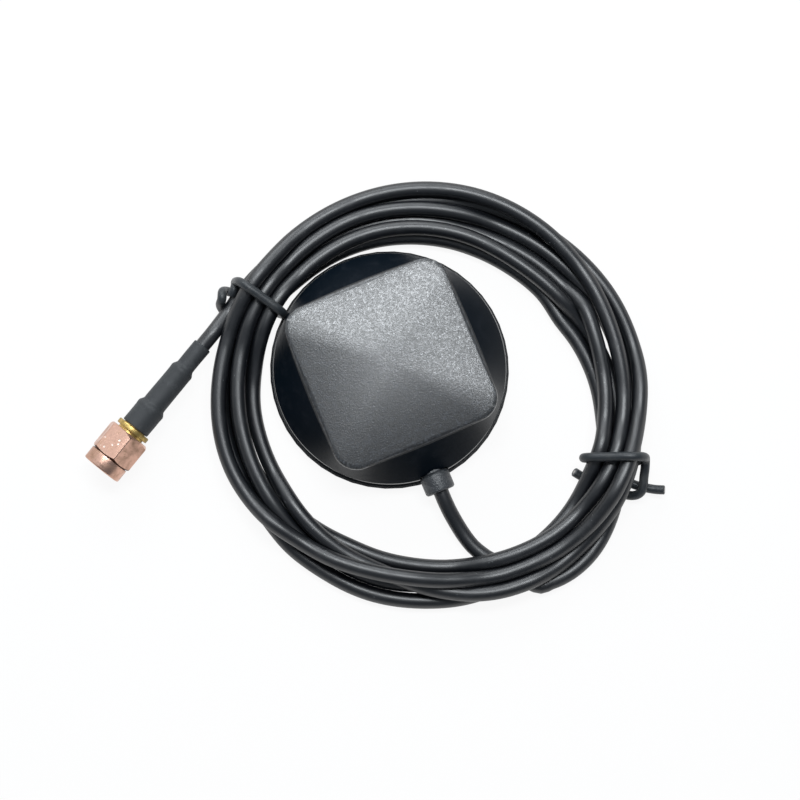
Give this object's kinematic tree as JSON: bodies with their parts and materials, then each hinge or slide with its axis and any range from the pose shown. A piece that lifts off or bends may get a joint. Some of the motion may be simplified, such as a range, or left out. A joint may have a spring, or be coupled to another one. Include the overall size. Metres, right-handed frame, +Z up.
{
  "type": "gps antenna",
  "caption": "Round puck antenna with a square raised top, a thin coaxial lead wound into a tied coil, and a threaded plug with a spinning hex nut.",
  "frame": {"origin": "middle of the puck's underside, on the surface it stands on", "axes": "+Z up through the square top; the cable leaves the puck towards -Y"},
  "size_m": [0.1068, 0.0832, 0.014],
  "materials": {
    "housing": "black moulded plastic, spark-eroded grain on the square top, smoother slopes",
    "housing_base": "black moulded plastic with a polished lip",
    "foam": "black closed-cell foam",
    "seal": "black rubber cord",
    "steel": "zinc-plated steel screws",
    "board": "green circuit board",
    "ceramic": "fired ceramic",
    "silver": "silver plating",
    "solder": "tin-plated pin",
    "tinplate": "tinplate",
    "chip": "black moulded package",
    "nickel": "nickel-plated magnet",
    "grommet": "matte grained black rubber",
    "jacket": "satin black cable jacket",
    "core": "white cable core",
    "sleeve": "matte black shrink sleeve",
    "brass": "yellow turned brass",
    "spring": "bronze spring ring",
    "gasket": "red silicone",
    "insulator": "white fluoroplastic",
    "gold": "gold-plated contact",
    "copper": "tarnished copper-coloured nut",
    "tie": "black plastic-coated tie wire"
  },
  "bodies": {
    "root": {"radome_cover": "housing", "base_cover": "housing_base", "foot_pad": "foam", "seal_cord": "seal", "screw_1": "steel", "screw_2": "steel", "screw_3": "steel", "screw_4": "steel", "circuit_board": "board", "patch_ceramic": "ceramic", "patch_electrode": "silver", "patch_tape": "foam", "feed_pin": "solder", "shield_can": "tinplate", "amplifier_chip": "chip", "band_filter": "silver", "magnet_left": "nickel", "magnet_right": "nickel", "cable_grommet": "grommet", "inner_cable": "jacket", "inner_core": "core", "cable_lead": "jacket", "cable_coil": "jacket", "cable_tail": "jacket", "cable_core": "core", "heat_shrink": "sleeve", "crimp_ferrule": "brass", "connector_body": "brass", "retaining_ring": "spring", "sealing_gasket": "gasket", "insulator": "insulator", "centre_pin": "gold", "tie_left": "tie", "tie_right": "tie"},
    "nut": {"coupling_nut": "copper"}
  },
  "joints": [
    {"name": "nut_spin", "type": "hinge", "parent": "root", "child": "nut", "pos_m": [-0.05118, 0.00715, 0.0047], "axis": [-0.8763, -0.4818, 0], "continuous": true}
  ]
}
